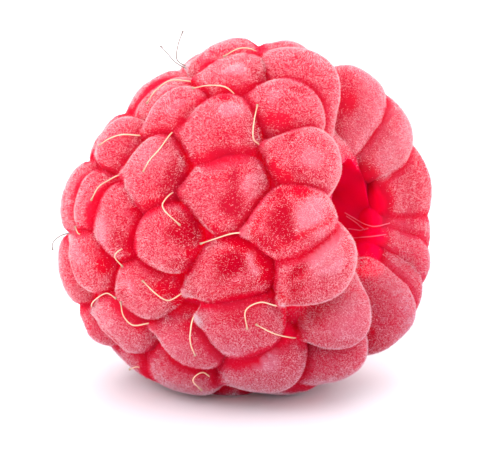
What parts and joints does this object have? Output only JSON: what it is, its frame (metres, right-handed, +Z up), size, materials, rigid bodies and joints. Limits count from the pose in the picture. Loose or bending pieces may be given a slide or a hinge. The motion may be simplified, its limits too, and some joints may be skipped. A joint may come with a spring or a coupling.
{
  "type": "raspberry",
  "caption": "Ripe picked raspberry lying on its side: plump drupelets round an open hollow, each tipped with a fine dried thread.",
  "frame": {"origin": "on the surface the berry lies on, under the middle of its bounding box", "axes": "+Z up; +X the way the open mouth of the hollow looks, level, with the berry's own axis rising about 10 degrees towards it; -Y the side that is seen in the picture"},
  "size_m": [0.0216, 0.0216, 0.0211],
  "materials": {
    "flesh": "soft fuzzy fruit skin, satin"
  },
  "bodies": {
    "root": {"raspberry": "flesh"}
  },
  "joints": []
}
